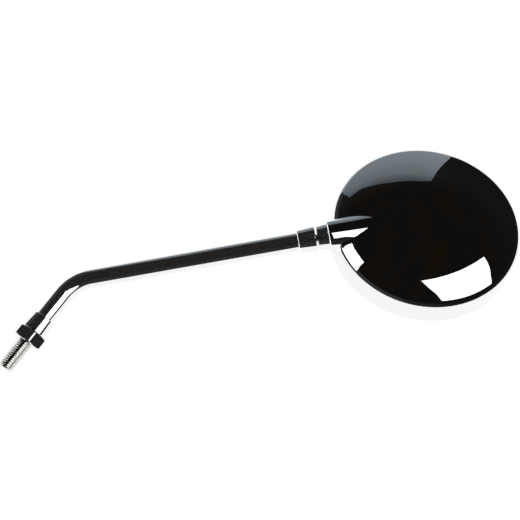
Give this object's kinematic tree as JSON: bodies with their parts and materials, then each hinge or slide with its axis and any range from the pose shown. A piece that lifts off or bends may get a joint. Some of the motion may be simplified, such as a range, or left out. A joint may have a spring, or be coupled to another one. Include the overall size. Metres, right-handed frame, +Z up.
{
  "type": "motorcycle mirror",
  "caption": "Round chromed mirror head with a shallow domed back, on a bent round stem with a ball joint, a tapered collar, a lock nut and a threaded stud for a lever perch.",
  "frame": {"origin": "on the stud's axis, at the top of its free thread, where the lock nut seats on the lever perch", "axes": "+Z up the stud, +X the side that the stem leans to, +Y the way the glass looks, so the domed back looks towards -Y"},
  "size_m": [0.2445, 0.0426, 0.2787],
  "materials": {
    "plated_steel": "zinc plated, machined",
    "chromed_steel": "polished chrome plate on steel",
    "chromed_plastic": "polished chrome plate on moulded plastic",
    "nylon": "natural nylon",
    "spring_steel": "oiled spring steel",
    "silvered_glass": "silvered convex glass",
    "rubber": "moulded black rubber",
    "foam": "closed-cell foam"
  },
  "bodies": {
    "stem": {"threaded_stud": "plated_steel", "lower_collar": "chromed_steel", "stem_tube": "chromed_steel", "upper_ferrule": "chromed_steel", "ball_stud": "plated_steel"},
    "nut": {"lock_nut": "chromed_steel"},
    "liner": {"ball_liner": "nylon"},
    "seat": {"rear_seat": "nylon", "thrust_washer": "spring_steel", "disc_springs": "spring_steel"},
    "head": {"housing_shell": "chromed_plastic", "joint_cap": "chromed_steel", "mirror_glass": "silvered_glass", "glass_gasket": "rubber", "backing_pad": "foam"}
  },
  "joints": [
    {"name": "nut_turn", "type": "hinge", "parent": "stem", "child": "nut", "pos_m": [0, 0, 0], "axis": [0, 0, 1], "continuous": true},
    {"name": "head_nod", "type": "hinge", "parent": "stem", "child": "liner", "pos_m": [0.12923, 0, 0.16026], "axis": [-0.6508, 0, 0.7593], "range_deg": [-12, 12]},
    {"name": "head_turn", "type": "hinge", "parent": "liner", "child": "seat", "pos_m": [0.12923, 0, 0.16026], "axis": [0, 1, 0], "range_deg": [-12, 12]},
    {"name": "head_swivel", "type": "hinge", "parent": "seat", "child": "head", "pos_m": [0.12923, 0, 0.16026], "axis": [0.7593, 0, 0.6508], "continuous": true}
  ]
}
